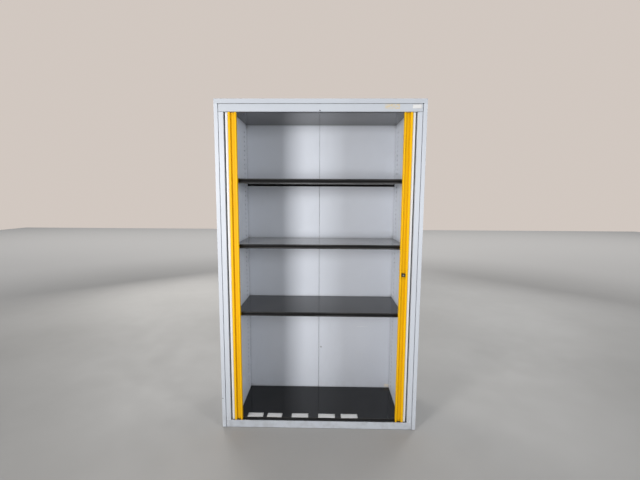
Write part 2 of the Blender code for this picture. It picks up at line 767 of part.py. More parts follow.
def add_curtain(side, word):
    route = mirrored(curtain_route(STILE_OUTER, TRACK_END), side)
    outline = slatted_outline(route)
    low = TRACK_FLOOR + SEAT_GAP
    high = TRACK_ROOF - RUN_GAP
    add_piece(f"{word}_curtain", extruded(outline, "Z", low, high), "curtain_plastic")


def stile_outline():
    """Plan outline of the left stile, a folded sheet with a finger channel along its front."""
    grip_start = STILE_OUTER - GRIP_OFFSET
    grip_end = grip_start - GRIP_WIDTH
    line = [
        (STILE_OUTER - STILE_RETURN, STILE_BACK),
        (STILE_OUTER, STILE_BACK),
        (STILE_OUTER, STILE_FRONT),
        (grip_start, STILE_FRONT),
        (grip_start - GRIP_TAPER, GRIP_FLOOR),
        (grip_end + GRIP_TAPER, GRIP_FLOOR),
        (grip_end, STILE_FRONT),
        (STILE_INNER, STILE_FRONT),
        (STILE_INNER, STILE_BACK),
        (STILE_INNER + STILE_RETURN, STILE_BACK),
    ]
    return folded(line, -STILE_SHEET)


def add_door(side, word):
    door = axis_empty(f"{word}_door_axis", (side * (STILE_OUTER - STILE_WIDTH / 2), FRONT_RUN, STILE_LOW))
    outline = mirrored(stile_outline(), side)
    stile = add_piece(f"{word}_stile", extruded(outline, "Z", STILE_LOW, STILE_HIGH), "stile_paint", door)
    plug_x = sorted(
        (side * (STILE_OUTER - STILE_SHEET - RUNNER_INSET), side * (STILE_INNER + STILE_SHEET + RUNNER_INSET))
    )
    plug_y = (GRIP_FLOOR + STILE_SHEET + SEAT_GAP, STILE_BACK - STILE_SHEET - SEAT_GAP)
    tongue_y = (FRONT_RUN - SLAT_THICKNESS / 2, FRONT_RUN + SLAT_THICKNESS / 2)
    for place, plug_z, tongue_z in (
        ("bottom", (STILE_LOW, STILE_LOW + RUNNER_PLUG), (TRACK_FLOOR + SEAT_GAP, STILE_LOW - SEAT_GAP)),
        ("top", (STILE_HIGH - RUNNER_PLUG, STILE_HIGH), (STILE_HIGH + SEAT_GAP, TRACK_ROOF - RUN_GAP)),
    ):
        neck_z = (min(plug_z[0], tongue_z[1]), max(plug_z[1], tongue_z[0]))
        spans = ((plug_y, neck_z), (tongue_y, tongue_z))
        corners = [((plug_x[0], y[0], z[0]), (plug_x[1], y[1], z[1])) for y, z in spans]
        add_piece(f"{word}_{place}_runner", boxes(corners), "runner_plastic", door)
    return door, stile


def add_keeper(door, stile):
    """The left stile's strike plate: the lock's hook enters its slot from below."""
    slot_low = LOCK_HEIGHT - HOOK_CATCH - HOOK_TIP
    slot_high = LOCK_HEIGHT + HOOK_WIDTH / 2 + RUN_GAP
    slot_y = (HOOK_FACE - RUN_GAP, HOOK_BACK + RUN_GAP)
    plate_x = (-STILE_INNER - STILE_SHEET - SEAT_GAP - KEEPER_SHEET, -STILE_INNER - STILE_SHEET - SEAT_GAP)
    plate_y = (STILE_FRONT + STILE_SHEET + SEAT_GAP, STILE_BACK - STILE_SHEET - SEAT_GAP)
    plate_z = (slot_low - KEEPER_MARGIN, slot_high + KEEPER_MARGIN)
    frame = [
        ((plate_x[0], plate_y[0], plate_z[0]), (plate_x[1], slot_y[0], plate_z[1])),
        ((plate_x[0], slot_y[1], plate_z[0]), (plate_x[1], plate_y[1], plate_z[1])),
        ((plate_x[0], plate_y[0], plate_z[0]), (plate_x[1], plate_y[1], slot_low)),
        ((plate_x[0], plate_y[0], slot_high), (plate_x[1], plate_y[1], plate_z[1])),
    ]
    add_piece("lock_keeper", boxes(frame), "lock_metal", door)
    wall = box(
        (-STILE_INNER - 2 * STILE_SHEET, slot_y[0], slot_low), (-STILE_INNER + STILE_SHEET, slot_y[1], slot_high)
    )
    cut(stile, "keeper_slot", wall, door)


def add_lock(door, stile):
    """The right stile's lock: a case in the finger channel, a cylinder and a hook that turns out."""
    lock = axis_empty("lock_axis", (LOCK_X, HOOK_FACE, LOCK_HEIGHT), door)
    case_front = STILE_FRONT + SEAT_GAP
    case_seat = GRIP_FLOOR - SEAT_GAP
    case_back = HOOK_FACE - SEAT_GAP
    bore = CYLINDER_RADIUS + SEAT_GAP
    face_width = GRIP_WIDTH - 2 * GRIP_TAPER - 2 * RUN_GAP
    face = rounded_square(face_width, LOCK_FACE, LOCK_ROUND)
    rings = [(face, case_front), (face, case_seat)]
    rings += [(circle(LOCK_BOSS_RADIUS), case_seat), (circle(LOCK_BOSS_RADIUS), case_back)]
    rings += [(circle(bore), case_back), (circle(bore), case_front)]
    case = bmesh.new()
    loops = [[case.verts.new((LOCK_X + x, y, LOCK_HEIGHT + z)) for x, z in points] for points, y in rings]
    bridge(case, loops + loops[:1])
    smooth(add_piece("lock_case", case, "lock_black", door))
    hole = [(LOCK_X + x, LOCK_HEIGHT + z) for x, z in circle(LOCK_BOSS_RADIUS + SEAT_GAP)]
    cut(stile, "lock_hole", extruded(hole, "Y", GRIP_FLOOR - SHEET, GRIP_FLOOR + STILE_SHEET + SHEET), door)

    barrel = [(LOCK_X + x, LOCK_HEIGHT + z) for x, z in circle(CYLINDER_RADIUS)]
    cylinder = add_piece("lock_cylinder", extruded(barrel, "Y", STILE_FRONT, case_back), "lock_metal", lock)
    smooth(cylinder)
    key_low = (LOCK_X - KEY_SLOT_WIDTH / 2, STILE_FRONT - SHEET, LOCK_HEIGHT - KEY_SLOT_LENGTH / 2)
    key_high = (LOCK_X + KEY_SLOT_WIDTH / 2, STILE_FRONT + KEY_SLOT_DEPTH, LOCK_HEIGHT + KEY_SLOT_LENGTH / 2)
    cut(cylinder, "key_slot", box(key_low, key_high), lock)

    half = HOOK_WIDTH / 2
    hook = [(half * math.cos(a), half * math.sin(a)) for a in [math.pi * i / 12 for i in range(13)]]
    hook += [(-half, -HOOK_CATCH), (-half - HOOK_BARB, -HOOK_CATCH)]
    hook += [(-half - HOOK_BARB, -HOOK_CATCH - HOOK_TIP / 2), (-half, -HOOK_CATCH - HOOK_TIP)]
    hook += [(half, -HOOK_CATCH - HOOK_TIP)]
    placed = [(LOCK_X + x, LOCK_HEIGHT + z) for x, z in hook]
    add_piece("lock_hook", extruded(placed, "Y", HOOK_FACE, HOOK_BACK), "lock_metal", lock)
    reach = HOOK_CATCH + HOOK_TIP
    slot_low = (STILE_INNER - STILE_SHEET, HOOK_FACE - RUN_GAP, LOCK_HEIGHT - reach)
    slot_high = (STILE_INNER + 2 * STILE_SHEET, HOOK_BACK + RUN_GAP, LOCK_HEIGHT + half + 2 * RUN_GAP)
    cut(stile, "hook_slot", box(slot_low, slot_high), door)


def main():
    clear_scene()
    add_carcass()
    add_lining()
    add_shelves()
    for side, word in ((-1, "left"), (1, "right")):
        add_tracks(side, word)
        add_curtain(side, word)
    left_door, left_stile = add_door(-1, "left")
    right_door, right_stile = add_door(1, "right")
    add_keeper(left_door, left_stile)
    add_lock(right_door, right_stile)


main()
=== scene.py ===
"""Dressed model of a tambour door filing cabinet.

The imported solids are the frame. This script adds finishes, the slatted curtains, thin trim, blank labels,
light and a camera. Lengths are in metres.
"""

import math

import bmesh
import bpy
from mathutils import Matrix, Vector, noise


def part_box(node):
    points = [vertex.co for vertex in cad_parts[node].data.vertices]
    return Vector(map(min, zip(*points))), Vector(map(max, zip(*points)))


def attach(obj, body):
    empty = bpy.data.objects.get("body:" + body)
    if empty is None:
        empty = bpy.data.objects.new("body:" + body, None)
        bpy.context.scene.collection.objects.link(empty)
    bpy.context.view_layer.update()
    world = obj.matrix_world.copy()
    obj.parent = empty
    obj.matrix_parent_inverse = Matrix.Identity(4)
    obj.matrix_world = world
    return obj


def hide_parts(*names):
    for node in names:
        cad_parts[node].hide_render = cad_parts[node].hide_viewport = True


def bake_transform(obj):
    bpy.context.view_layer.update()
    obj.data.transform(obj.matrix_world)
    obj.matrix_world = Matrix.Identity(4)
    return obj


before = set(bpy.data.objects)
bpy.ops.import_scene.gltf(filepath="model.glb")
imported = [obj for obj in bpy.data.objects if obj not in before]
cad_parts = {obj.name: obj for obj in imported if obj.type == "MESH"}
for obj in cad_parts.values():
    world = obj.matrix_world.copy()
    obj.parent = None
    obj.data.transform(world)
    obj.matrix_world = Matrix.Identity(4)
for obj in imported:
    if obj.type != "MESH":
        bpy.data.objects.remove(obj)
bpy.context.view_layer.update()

# Camera, from the photograph of 640 x 480
IMAGE_WIDTH = 640
FOCAL_PIXELS = 355.0
SENSOR_WIDTH = 36.0          # millimetres
CAMERA_PLACE = (0.0418, -2.2852, 1.4265)
CAMERA_PITCH = 6.712         # degrees down
CAMERA_YAW = -1.056          # degrees, positive to the right
CAMERA_ROLL = 0.293          # degrees, positive with the right side up

# Curtains, in the measures of the solids
SLAT_PITCH = 0.018
SLAT_NECK = 0.003            # between two slats
SLAT_FACE = SLAT_PITCH - SLAT_NECK
SLAT_THICKNESS = 0.007
SLAT_CROWN = 0.0005          # rise of the slat's face in its middle
SLAT_ROUND = 0.0012          # front corners
SLAT_CHAMFER = 0.0007        # rear corners
NECK_THICKNESS = 0.0016      # web between two slats
NECK_INSET = 0.0005          # from the slats' back to the web
NECK_LAP = 0.0002            # web's reach into the slats
FRONT_RUN = -0.2036625       # middle of the curtain along the front
SIDE_RUN = 0.5916625         # in the side pocket
REAR_RUN = 0.2153625         # and along the rear
BEND_RADIUS = 0.030
BEND_X = SIDE_RUN - BEND_RADIUS
STILE_OUTER = 0.523
TRAVEL = 0.4753
SHOWN_SLATS = 2              # slats that show beside the stile
FOLDED_SLATS = 26            # slats that lie pressed together behind the post while the door is open
FOLD_START = 0.5617          # where the pressed part of the curtain begins
FOLD_END = 0.559             # where the pressed part ends, a full travel from its shut place
FOLD_HALVINGS = 60           # steps of the search for a pressed slat's place
STOP_ROOM = 0.013            # the end stop's length and a gap before it

# White edge profile beside each stile
TRIM_INNER = 0.5232
TRIM_OUTER = 0.5385
TRIM_FRONT = -0.2165
TRIM_BACK = -0.2082
TRIM_ROUND = 0.0016          # front corners
TRIM_CHAMFER = 0.0008        # outer rear corner
TRIM_END = 0.001             # shorter than the stile at each end

# Steps in the outlines' round corners and bowed faces
CORNER_STEPS = 4
SLAT_STEPS = 7
TRIM_CORNER_STEPS = 5
TRIM_STEPS = 8

# Shelves, and the sheet that closes each one from below
SHELF_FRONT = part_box("shelf_1")[0].y
SHELF_EDGE = 0.026           # height of the folded edges
SHELF_FADE = (0.0016, 0.0008)    # behind the front, where the lighter front edge ends
UNDERSIDE_RISE = 0.0085      # above the shelf's lower edge
UNDERSIDE_INSET = 0.0048     # behind the shelf's front
UNDERSIDE_GAP = 0.0013       # before the shelf's rear
UNDERSIDE_HALF = 0.489       # half its width, clear of the clips
UNDERSIDE_SHEET = 0.0008
UNDERSIDE_LIP = 0.008        # edges turned up at the front and the rear
UNDERSIDE_ROUND = 0.0016     # outer radius of their folds

# Labels on the base: left edge, right edge, and turn in degrees
BASE_LABELS = (
    (-0.4500, -0.3520, 0.5),
    (-0.3260, -0.2330, -0.8),
    (-0.1710, -0.0660, 0.3),
    (-0.0030, 0.1030, -0.4),
    (0.1405, 0.2460, 0.7),
)
LABEL_FRONT = -0.1966
LABEL_DEPTH = 0.043
LABEL_THICKNESS = 0.00018
LABEL_CORNER = 0.0025
LABEL_COLUMNS, LABEL_ROWS = 14, 8
LABEL_LIFT = 0.00005         # least height above what carries it
LABEL_WAVE = 0.00010         # most that the paper rises above that
LABEL_WAVE_SCALE = 60
LABEL_SEED = 3.7
STICKER = ((0.5175, 1.9262), (0.5690, 1.9478))    # lower left and upper right corner in x and z
STICKER_SUNK = 0.00022       # pressed into the paint
STICKER_SEED = 31.0

# Marks on the front: centre, half size and soft rim, each in x and z
GLUE_MARK = ((0.404, 1.9365), (0.040, 0.012), (0.004, 0.003))
# A painted shadow line of a small dent near the floor
DENT_SHADOW_MARK = ((-0.5945, 0.1905), (0.0045, 0.0012), (0.002, 0.0012))
FRONT_FADE = (-0.2235, -0.2245)              # y where these marks begin and are full

# Painted shade in the recessed seam over the header
JOINT_SHADE_HEIGHT = (1.9525, 0.0022, 0.0008)      # middle, half height and soft rim
JOINT_SHADE_FRONT = (-0.2236, -0.2226)             # y where it begins behind the front and is full
JOINT_SHADE_REAR = (-0.2100, -0.2130)              # y where it ends at the rear and is full

# Marks on the inner back: centre and half size in x and z, colour, and how faint and how strong they get
BACK_MARKS = (
    ((0.0070, 0.3580), (0.0035, 0.0035), (0.20, 0.20, 0.20), 0.3, 0.9),
    ((0.4870, 0.0680), (0.0110, 0.0080), (0.80, 0.70, 0.52), 0.2, 0.8),
    ((0.3000, 0.5130), (0.0240, 0.0012), (0.80, 0.81, 0.82), 0.1, 0.6),
)
BACK_FADE = (0.176, 0.178)                   # y where these marks begin and are full

# Paint colours
GREY = (0.545, 0.576, 0.624)
LINING = (0.585, 0.612, 0.668)
YELLOW = (0.810, 0.448, 0.0012)
SCUFF_TOP = 0.16             # height to which the paint is scuffed near the floor

# Pieces whose grey paint is a darker copy, as painted shade
SHADED_PIECES = ("top_panel", "header_rail", "front_sill")

# Shading of the solids
MERGE_DISTANCE = 0.000002
CRISP_ANGLE = 38.0           # degrees, from here on an edge is shaded sharp
BEVEL_ANGLE = 40.0           # degrees, from here on an edge is rounded

# Edge rounding of the small moulded and turned pieces
RUNNER_ROUND = 0.0006
ROUNDED = {
    "lock_case": 0.0005,
    "lock_cylinder": 0.0003,
    "lock_hook": 0.0004,
    "lock_keeper": 0.0003,
    "centre_buffer": 0.0008,
    "left_end_stop": 0.0008,
    "right_end_stop": 0.0008,
    "front_strip": 0.0004,
}

# Floor and surroundings
FLOOR_HALF = 14.0
FLOOR_CELLS = 24
FLOOR_FADE = (3.0, 7.5)      # from the middle, where the floor turns paler
SOFT_LIGHT = (0.95, 0.97, 1.0, 1.0)
SOFT_STRENGTH = 0.28
BACKDROP = (0.640, 0.575, 0.530, 1.0)

# Lights: name, place, target, size, watts, colour, and spread in degrees
LIGHTS = (
    ("left_window", (-2.85, -3.60, 1.50), (0.0, -0.2, 1.32), (1.1, 1.7), 30.6, (1.0, 0.99, 0.985), 70.0),
    ("right_window", (3.47, -3.20, 1.70), (0.0, -0.2, 1.40), (1.2, 1.7), 18.0, (0.97, 0.985, 1.0), 70.0),
    ("rear_left", (-2.60, 3.40, 2.10), (0.0, 0.2, 1.0), (1.6, 1.6), 60.0, (1.0, 0.99, 0.97), 180.0),
    ("rear_right", (2.90, 3.00, 2.30), (0.0, 0.2, 1.0), (1.6, 1.6), 45.0, (0.97, 0.985, 1.0), 180.0),
    ("overhead", (0.0, 0.30, 4.20), (0.0, 0.29, 0.0), (2.2, 2.2), 26.0, (1.0, 0.99, 0.98), 180.0),
    ("floor_wash", (0.0, 9.50, 5.50), (0.0, 9.6, 0.0), (28.0, 9.0), 420.0, (1.0, 0.98, 0.96), 180.0),
)


# Node materials

class Finish:
    """A material with one Principled shader, whose patterns are placed in the piece's own coordinates."""

    def __init__(self, name, metallic=0.0, specular=0.5):
        self.material = bpy.data.materials.new(name)
        self.material.use_nodes = True
        self.tree = self.material.node_tree
        self.tree.nodes.clear()
        output = self.node("ShaderNodeOutputMaterial")
        self.shader = self.node("ShaderNodeBsdfPrincipled")
        self.tree.links.new(self.shader.outputs["BSDF"], output.inputs["Surface"])
        self.set("Metallic", metallic)
        self.set("Specular IOR Level", specular)
        self.place = self.node("ShaderNodeTexCoord").outputs["Object"]

    def node(self, kind, **settings):
        made = self.tree.nodes.new(kind)
        for key, value in settings.items():
            setattr(made, key, value)
        return made

    def feed(self, socket, value):
        """Links an output to a socket, or writes a number or a colour on it."""
        if isinstance(value, bpy.types.NodeSocket):
            self.tree.links.new(value, socket)
        elif hasattr(value, "__len__") and len(value) == 3 and len(socket.default_value) == 4:
            socket.default_value = (*value, 1.0)
        else:
            socket.default_value = value

    def set(self, name, value):
        self.feed(self.shader.inputs[name], value)

    def stretched(self, scale):
        mapping = self.node("ShaderNodeMapping")
        self.feed(mapping.inputs["Vector"], self.place)
        self.feed(mapping.inputs["Scale"], Vector(scale))
        return mapping.outputs["Vector"]

    def noise(self, scale, detail=3.0, rough=0.5, stretch=None, warp=0.0):
        made = self.node("ShaderNodeTexNoise")
        self.feed(made.inputs["Vector"], self.stretched(stretch) if stretch else self.place)
        self.feed(made.inputs["Scale"], scale)
        self.feed(made.inputs["Detail"], detail)
        self.feed(made.inputs["Roughness"], rough)
        self.feed(made.inputs["Distortion"], warp)
        return made.outputs["Fac"]

    def spread(self, value, low, high, to_low=0.0, to_high=1.0):
        """A value's range from low to high, carried smoothly to another range."""
        made = self.node("ShaderNodeMapRange", interpolation_type="SMOOTHSTEP")
        for socket, number in zip(made.inputs, (value, low, high, to_low, to_high)):
            self.feed(socket, number)
        return made.outputs["Result"]

    def maths(self, operation, a, b=0.0):
        made = self.node("ShaderNodeMath", operation=operation)
        self.feed(made.inputs[0], a)
        self.feed(made.inputs[1], b)
        return made.outputs["Value"]

    def times(self, a, b):
        return self.maths("MULTIPLY", a, b)

    def plus(self, a, b):
        return self.maths("ADD", a, b)

    def mix(self, factor, a, b):
        made = self.node("ShaderNodeMix", data_type="RGBA")
        self.feed(made.inputs["Factor"], factor)
        colours = [s for s in made.inputs if s.type == "RGBA"]
        self.feed(colours[0], a)
        self.feed(colours[1], b)
        return [s for s in made.outputs if s.type == "RGBA"][0]

    def axes(self):
        made = self.node("ShaderNodeSeparateXYZ")
        self.feed(made.inputs["Vector"], self.place)
        return made.outputs

    def edges(self, radius):
        """1 along sharp edges and tight folds, 0 on flat faces."""
        bevel = self.node("ShaderNodeBevel", samples=4)
        self.feed(bevel.inputs["Radius"], radius)
        geometry = self.node("ShaderNodeNewGeometry")
        dot = self.node("ShaderNodeVectorMath", operation="DOT_PRODUCT")
        self.feed(dot.inputs[0], bevel.outputs["Normal"])
        self.feed(dot.inputs[1], geometry.outputs["Normal"])
        return self.spread(dot.outputs["Value"], 0.995, 0.90)

    def hidden(self, reach):
        """1 deep in grooves and corners, 0 where the surface lies open."""
        open_sky = self.node("ShaderNodeAmbientOcclusion", samples=6)
        self.feed(open_sky.inputs["Distance"], reach)
        return self.maths("SUBTRACT", 1.0, open_sky.outputs["AO"])

    def near(self, axis, centre, half, soft):
        """1 within half of a place on one axis, falling to 0 over soft."""
        away = self.maths("ABSOLUTE", self.maths("SUBTRACT", axis, centre))
        return self.spread(away, half + soft, half)

    def patch(self, axes, centre, half, soft):
        """1 on a rectangle in x and z, falling to 0 over its soft rim."""
        x, z = zip(centre, half, soft)
        return self.times(self.near(axes["X"], *x), self.near(axes["Z"], *z))

    def bump(self, height, distance):
        made = self.node("ShaderNodeBump")
        self.feed(made.inputs["Height"], height)
        self.feed(made.inputs["Distance"], distance)
        self.feed(made.inputs["Strength"], 1.0)
        self.set("Normal", made.outputs["Normal"])


def shade(colour, factor):
    return tuple(c * factor for c in colour)


def powder_coat(name, colour, roughness, grime=0.10, tint=None, gloss=0.5, rim=0.0011, edge_shade=None):
    """Baked powder paint: fine orange peel, a broad tone drift, faint handling marks, and edges lightened as
    wear and painted highlight, unless an edge colour is given, which darkens them as painted shade.
    """
    f = Finish(name, specular=gloss)
    fleck = f.noise(620.0, 2.0, 0.6)
    cloud = f.noise(11.0, 5.0, 0.55)
    tone = f.mix(f.spread(f.noise(1.7, 3.0), 0.32, 0.68), shade(colour, 0.965), shade(colour, 1.025))
    tone = f.mix(f.spread(fleck, 0.35, 0.75, 0.0, 0.10), tone, shade(colour, 0.80))
    marks = f.spread(f.noise(7.0, 6.0, 0.62, (1.0, 1.0, 0.35), 0.6), 0.57, 0.74, 0.0, grime)
    tone = f.mix(marks, tone, (colour[0] * 0.62, colour[1] * 0.60, colour[2] * 0.56))
    scuffs = f.spread(f.noise(26.0, 5.0), 0.42, 0.70, 0.0, 2.2 * grime)
    low = f.times(f.spread(f.axes()["Z"], SCUFF_TOP, 0.0), scuffs)
    tone = f.mix(low, tone, shade((0.40, 0.37, 0.33), colour[1]))
    if tint:
        tone = tint(f, tone)
    # Edges lighter, as wear on the paint and painted highlight; a given edge colour darkens them instead, as
    # painted shade
    least, most = (0.55, 0.90) if edge_shade else (0.12, 0.60)
    edge_marks = f.times(f.edges(rim), f.spread(f.noise(45.0, 4.0), 0.40, 0.66, least, most))
    tone = f.mix(edge_marks, tone, edge_shade or tuple(0.25 + 0.72 * c for c in colour))
    f.set("Base Color", tone)
    gloss_drift = f.plus(f.times(cloud, 0.8), f.times(fleck, 0.2))
    f.set("Roughness", f.spread(gloss_drift, 0.30, 0.70, roughness - 0.06, roughness + 0.09))
    f.bump(fleck, 0.00006)
    return f.material


def front_marks(f, tone):
    """What time left on the front: glue where a label was, a small dent near the floor drawn as a painted
    shadow line, and painted shade in the recessed seam over the header.
    """
    axes = f.axes()
    front = f.spread(axes["Y"], *FRONT_FADE)
    glue = f.spread(f.noise(95.0, 5.0, 0.6, None, 0.6), 0.42, 0.58, 0.05, 0.70)
    glue = f.times(f.patch(axes, *GLUE_MARK), glue)
    tone = f.mix(f.times(glue, front), tone, (0.62, 0.48, 0.24))
    # A small dent near the floor, drawn as a painted shadow line
    dent_shadow = f.spread(f.noise(300.0, 2.0), 0.25, 0.55, 0.45, 0.9)
    dent_shadow = f.times(f.patch(axes, *DENT_SHADOW_MARK), dent_shadow)
    tone = f.mix(f.times(dent_shadow, front), tone, (0.10, 0.10, 0.11))
    # Painted shade: the recessed seam over the header is darkened
    joint_shade = f.times(f.near(axes["Z"], *JOINT_SHADE_HEIGHT), f.spread(axes["Y"], *JOINT_SHADE_FRONT))
    joint_shade = f.times(joint_shade, f.spread(axes["Y"], *JOINT_SHADE_REAR))
    mottle = f.spread(f.noise(40.0, 4.0), 0.3, 0.7, 0.65, 0.95)
    return f.mix(f.times(joint_shade, mottle), tone, (0.19, 0.19, 0.195))


def channel_shade(f, tone):
    """Painted shade in the corners of the finger channel."""
    return f.mix(f.spread(f.hidden(0.020), 0.22, 0.60, 0.0, 0.55), tone, (0.30, 0.13, 0.0010))


def lining_marks(f, tone):
    """Painted shade in the corners and slots, and on the inner back a dark speck, a pale rub and a faint
    scratch.
    """
    axes = f.axes()
    # Painted shade: darker deep in the corners and slots
    tone = f.mix(f.spread(f.hidden(0.030), 0.30, 0.80, 0.0, 0.60), tone, shade(LINING, 0.18))
    back = f.spread(axes["Y"], *BACK_FADE)
    rough = f.noise(220.0, 3.0)
    for centre, half, colour, faint, strong in BACK_MARKS:
        spot = f.times(f.patch(axes, centre, half, half), f.spread(rough, 0.30, 0.62, faint, strong))
        tone = f.mix(f.times(spot, back), tone, colour)
    return tone


def black_enamel(name, roughness, gloss):
    """Black painted sheet with a little dust, fine drag marks from files, and front edges painted lighter,
    partly as handling wear and partly as painted light.
    """
    f = Finish(name, specular=gloss)
    fleck = f.noise(700.0, 2.0, 0.6)
    mottle = f.spread(f.noise(16.0, 6.0, 0.6, None, 0.4), 0.50, 0.78, 0.0, 0.30)
    drag = f.spread(f.noise(1.0, 4.0, 0.6, (260.0, 7.0, 260.0)), 0.62, 0.76, 0.0, 0.22)
    cross = f.spread(f.noise(1.0, 4.0, 0.6, (5.0, 240.0, 240.0)), 0.65, 0.78, 0.0, 0.14)
    tone = f.mix(f.spread(fleck, 0.3, 0.7), (0.0032, 0.0032, 0.0034), (0.0052, 0.0052, 0.0055))
    tone = f.mix(mottle, tone, (0.020, 0.0195, 0.0185))
    tone = f.mix(f.plus(drag, cross), tone, (0.045, 0.044, 0.043))
    edge_marks = f.times(f.edges(0.0012), f.spread(f.noise(50.0, 4.0), 0.45, 0.70, 0.05, 0.45))
    tone = f.mix(edge_marks, tone, (0.11, 0.11, 0.115))
    # The front edges are lighter, partly handling wear and partly painted light on the faces towards the
    # windows
    front = f.spread(f.axes()["Y"], *(SHELF_FRONT + depth for depth in SHELF_FADE))
    patchy = f.spread(f.noise(1.0, 4.0, 0.6, (4.0, 60.0, 160.0)), 0.36, 0.66, 0.25, 0.75)
    f.set("Base Color", f.mix(f.times(front, patchy), tone, (0.058, 0.057, 0.056)))
    f.set("Sheen Weight", 0.10)
    f.set("Sheen Roughness", 0.25)
    rough = f.spread(f.noise(9.0, 5.0), 0.30, 0.70, roughness - 0.02, roughness + 0.02)
    rough = f.plus(rough, f.times(mottle, 0.12))
    f.set("Roughness", f.plus(rough, f.times(drag, 0.10)))
    f.bump(fleck, 0.00002)
    return f.material


def slat_plastic(name, lightness):
    """Extruded off-white plastic: faint lines along the slat, handling grey, and painted shade in the
    grooves.
    """
    f = Finish(name, specular=0.45)
    lines = f.noise(1.0, 3.0, 0.5, (900.0, 900.0, 2.5))
    patchy = f.spread(f.noise(6.0, 5.0, 0.6, (1.0, 1.0, 0.5), 0.5), 0.50, 0.75, 0.0, 0.16)
    darker, lighter = shade((0.83, 0.84, 0.85), lightness), shade((0.89, 0.895, 0.90), lightness)
    tone = f.mix(f.spread(lines, 0.3, 0.7), darker, lighter)
    tone = f.mix(patchy, tone, (0.56, 0.55, 0.53))
    # Painted shade: darker deep in the grooves between the slats
    tone = f.mix(f.spread(f.hidden(0.030), 0.45, 0.80, 0.0, 0.80), tone, (0.10, 0.10, 0.105))
    edge_marks = f.times(f.edges(0.0008), f.spread(f.noise(70.0, 3.0), 0.40, 0.70, 0.0, 0.35))
    f.set("Base Color", f.mix(edge_marks, tone, (0.60, 0.60, 0.60)))
    f.set("Roughness", f.spread(lines, 0.30, 0.70, 0.36, 0.50))
    f.bump(lines, 0.00003)
    return f.material


def moulded_plastic(name, colour, roughness, grain=0.00005):
    """Moulded plastic or rubber with a fine spark-eroded grain, dull patches and rubbed edges."""
    f = Finish(name, specular=0.45)
    grain_noise = f.noise(900.0, 3.0, 0.6)
    patch = f.noise(28.0, 5.0, 0.55)
    tone = f.mix(f.spread(patch, 0.32, 0.68), shade(colour, 0.82), shade(colour, 1.25))
    tone = f.mix(f.spread(grain_noise, 0.4, 0.8, 0.0, 0.25), tone, shade(colour, 1.6))
    edge_marks = f.times(f.edges(0.0007), f.spread(f.noise(120.0, 3.0), 0.40, 0.70, 0.05, 0.55))
    f.set("Base Color", f.mix(edge_marks, tone, tuple(min(0.8, 0.05 + 2.2 * c) for c in colour)))
    f.set("Roughness", f.spread(patch, 0.30, 0.70, roughness - 0.07, roughness + 0.10))
    f.bump(grain_noise, grain)
    return f.material


def plated_metal(name, colour, roughness, grain_scale):
    """Plated steel: brushed grain, spangle in the tone and darker spots."""
    f = Finish(name, metallic=1.0)
    grain = f.noise(1.0, 4.0, 0.6, grain_scale)
    spangle = f.noise(210.0, 4.0, 0.55, None, 0.8)
    tone = f.mix(f.spread(spangle, 0.34, 0.66), shade(colour, 0.80), colour)
    tone = f.mix(f.spread(f.noise(75.0, 5.0), 0.56, 0.74, 0.0, 0.45), tone, (0.30, 0.27, 0.23))
    f.set("Base Color", tone)
    gloss_drift = f.plus(f.times(grain, 0.6), f.times(spangle, 0.4))
    f.set("Roughness", f.spread(gloss_drift, 0.30, 0.70, roughness - 0.09, roughness + 0.12))
    f.bump(grain, 0.00003)
    return f.material


def label_paper(name, lightness):
    """Blank coated paper with a faint fibre, a little yellowing and grey at the scuffed rim."""
    f = Finish(name, specular=0.35)
    fibre = f.noise(1400.0, 4.0, 0.65)
    stain = f.spread(f.noise(38.0, 5.0, 0.6, None, 0.5), 0.48, 0.74, 0.0, 0.30)
    darker, lighter = shade((0.78, 0.78, 0.78), lightness), shade((0.87, 0.87, 0.865), lightness)
    tone = f.mix(f.spread(fibre, 0.3, 0.7), darker, lighter)
    tone = f.mix(stain, tone, shade((0.60, 0.585, 0.55), lightness))
    rim = f.times(f.edges(0.0012), f.spread(f.noise(150.0, 3.0), 0.35, 0.65, 0.1, 0.6))
    f.set("Base Color", f.mix(rim, tone, (0.50, 0.49, 0.47)))
    f.set("Roughness", f.spread(fibre, 0.3, 0.7, 0.42, 0.58))
    f.bump(fibre, 0.00003)
    return f.material


def pale_floor(name):
    """Plain pale ground, a little uneven, which turns paler far from the cabinet."""
    f = Finish(name, specular=0.3)
    tone = f.mix(f.spread(f.noise(0.9, 4.0), 0.3, 0.7), (0.44, 0.43, 0.415), (0.48, 0.47, 0.455))
    length = f.node("ShaderNodeVectorMath", operation="LENGTH")
    f.feed(length.inputs[0], f.place)
    tone = f.mix(f.spread(length.outputs["Value"], *FLOOR_FADE), tone, (0.90, 0.88, 0.855))
    f.set("Base Color", tone)
    f.set("Roughness", f.spread(f.noise(6.0, 4.0), 0.3, 0.7, 0.62, 0.74))
    return f.material


